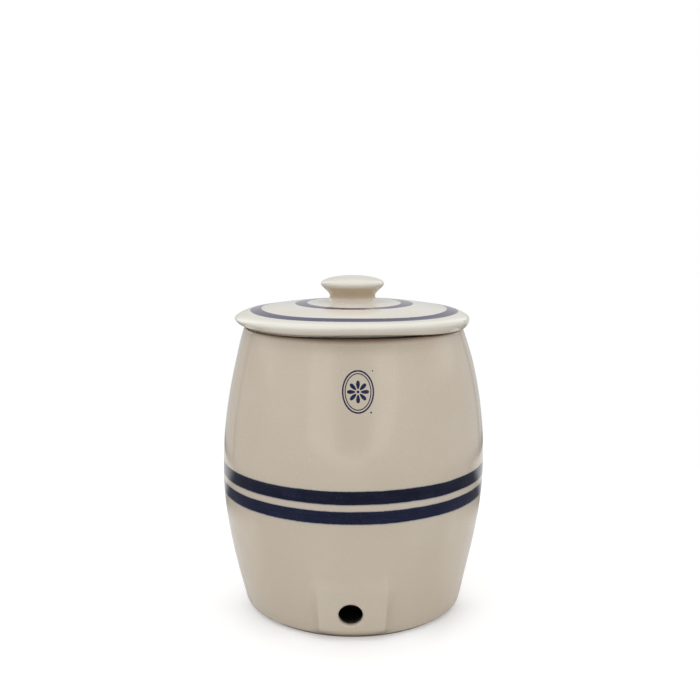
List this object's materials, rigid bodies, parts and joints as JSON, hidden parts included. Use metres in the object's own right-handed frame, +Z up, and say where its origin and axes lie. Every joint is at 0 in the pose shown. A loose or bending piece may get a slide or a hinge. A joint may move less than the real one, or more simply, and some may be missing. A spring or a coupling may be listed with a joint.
{
  "type": "beverage crock",
  "caption": "Glazed stoneware beverage crock with a barrel-shaped wall, blue bands, a flat tap pad with an open tap hole near the foot, and a lift-off domed lid with a knob.",
  "frame": {"origin": "middle of the foot, on the surface that the crock stands on", "axes": "+Z up along the axis of the crock, -Y towards the side with the tap pad, +X to the right as seen from that side"},
  "size_m": [0.238, 0.238, 0.3],
  "materials": {
    "crock": "gloss cream glaze with cobalt bands, bare clay on the foot ring and under the floor",
    "lid": "gloss cream glaze with cobalt rings, bare clay on the seat"
  },
  "bodies": {
    "crock": {"crock": "crock"},
    "lid": {"lid": "lid"}
  },
  "joints": [
    {"name": "lid_lift", "type": "slide", "parent": "crock", "child": "lid", "axis": [0, 0, 1], "range_m": [0, 0.12]}
  ]
}
